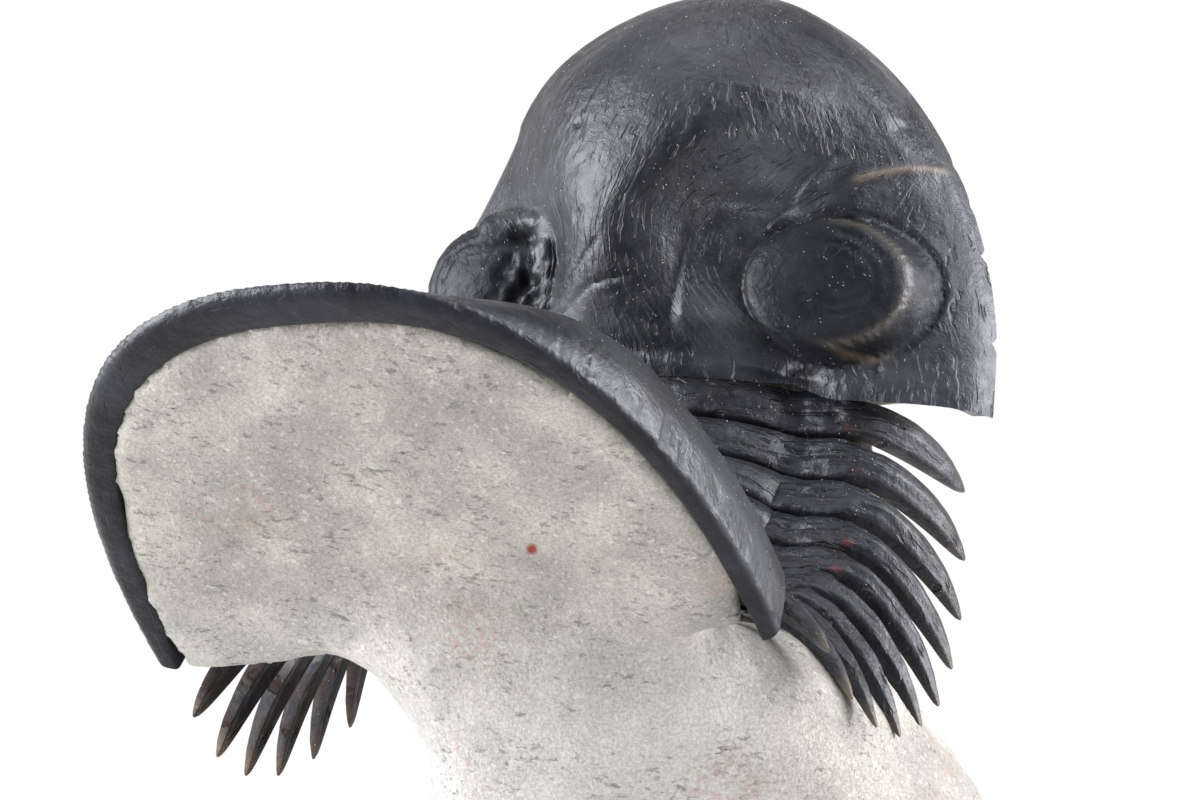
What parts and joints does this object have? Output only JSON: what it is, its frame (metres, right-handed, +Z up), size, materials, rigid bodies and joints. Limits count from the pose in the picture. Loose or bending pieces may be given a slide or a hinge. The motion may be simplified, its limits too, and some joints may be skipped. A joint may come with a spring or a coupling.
{
  "type": "trilobite fossil",
  "caption": "Trilobite fossil bent into a U on a limestone pillar: domed head shield with two eyes, spined thorax and a fan-shaped tail shield, standing on a flat sawn base.",
  "frame": {"origin": "on the flat sawn base of the stone, under the middle of the pillar", "axes": "+Z up out of the base, +Y from the tail shield's side towards the head shield, +X to the right when seen from the tail's side"},
  "size_m": [0.0572, 0.0661, 0.0654],
  "materials": {
    "shell": "near-black calcite shell with a soft blue-grey sheen, fine terrace lines and small pits",
    "stone": "light warm grey limestone, finely tooled, with dark flecks"
  },
  "bodies": {
    "root": {"head_shield": "shell", "thorax_segment_01": "shell", "thorax_segment_02": "shell", "thorax_segment_03": "shell", "thorax_segment_04": "shell", "thorax_segment_05": "shell", "thorax_segment_06": "shell", "thorax_segment_07": "shell", "thorax_segment_08": "shell", "thorax_segment_09": "shell", "thorax_segment_10": "shell", "tail_shield": "shell", "limestone_matrix": "stone"}
  },
  "joints": []
}
